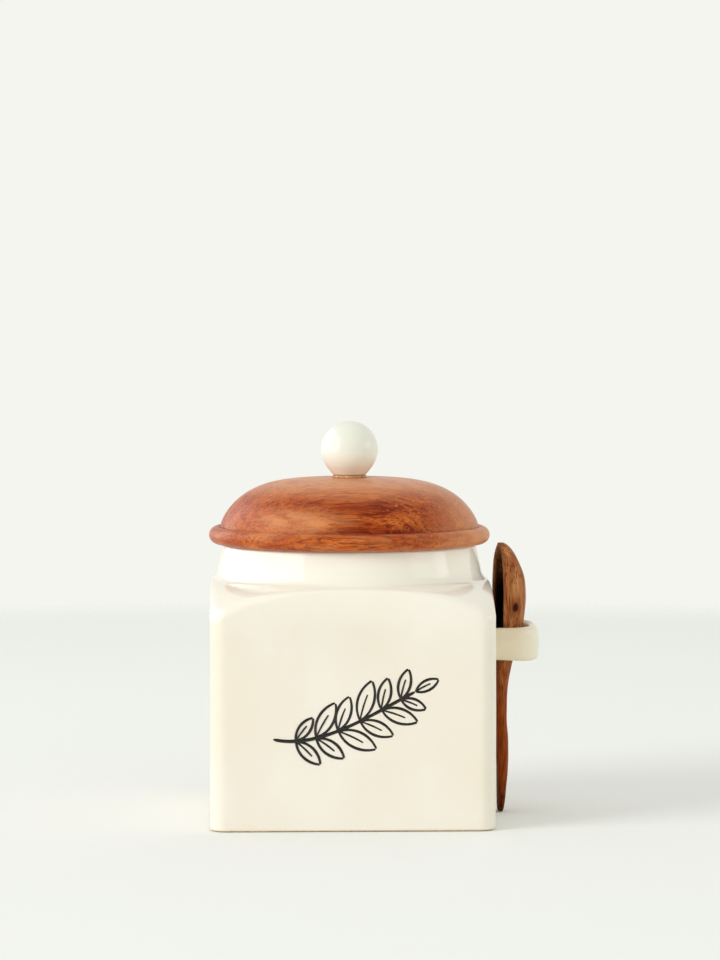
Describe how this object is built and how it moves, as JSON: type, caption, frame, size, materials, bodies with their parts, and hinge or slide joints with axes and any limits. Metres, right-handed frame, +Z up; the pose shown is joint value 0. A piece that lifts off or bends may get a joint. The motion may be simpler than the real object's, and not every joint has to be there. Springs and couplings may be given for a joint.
{
  "type": "sugar canister",
  "caption": "Square glazed stoneware canister with a round neck, a turned wooden lid with a ball knob, and a wooden spoon hung bowl up in a clay loop on its side.",
  "frame": {"origin": "middle of the canister's flat base, on the table", "axes": "+Z up along the axis of the neck and lid, -Y out of the plain front face, +X towards the side with the spoon"},
  "size_m": [0.1225, 0.104, 0.1457],
  "materials": {
    "glazed_stoneware": "gloss",
    "glazed_knob": "gloss",
    "lid_wood": "satin",
    "spoon_wood": "satin",
    "washer_cork": "matte",
    "seal_silicone": "matte",
    "insert_brass": "satin",
    "screw_steel": "satin"
  },
  "bodies": {
    "canister": {"canister_body": "glazed_stoneware", "spoon_loop": "glazed_stoneware"},
    "seal": {"lid_seal": "seal_silicone"},
    "lid": {"lid": "lid_wood", "knob": "glazed_knob", "knob_washer": "washer_cork", "knob_insert": "insert_brass", "knob_screw": "screw_steel", "screw_washer": "screw_steel"},
    "spoon": {"spoon": "spoon_wood"}
  },
  "joints": [
    {"name": "lid_lift", "type": "slide", "parent": "canister", "child": "seal", "axis": [0, 0, 1], "range_m": [0, 0.09]},
    {"name": "lid_turn", "type": "hinge", "parent": "seal", "child": "lid", "pos_m": [0, 0, 0.1005], "axis": [0, 0, 1], "continuous": true},
    {"name": "spoon_lift", "type": "slide", "parent": "canister", "child": "spoon", "axis": [0, 0, 1], "range_m": [0, 0.105]}
  ]
}
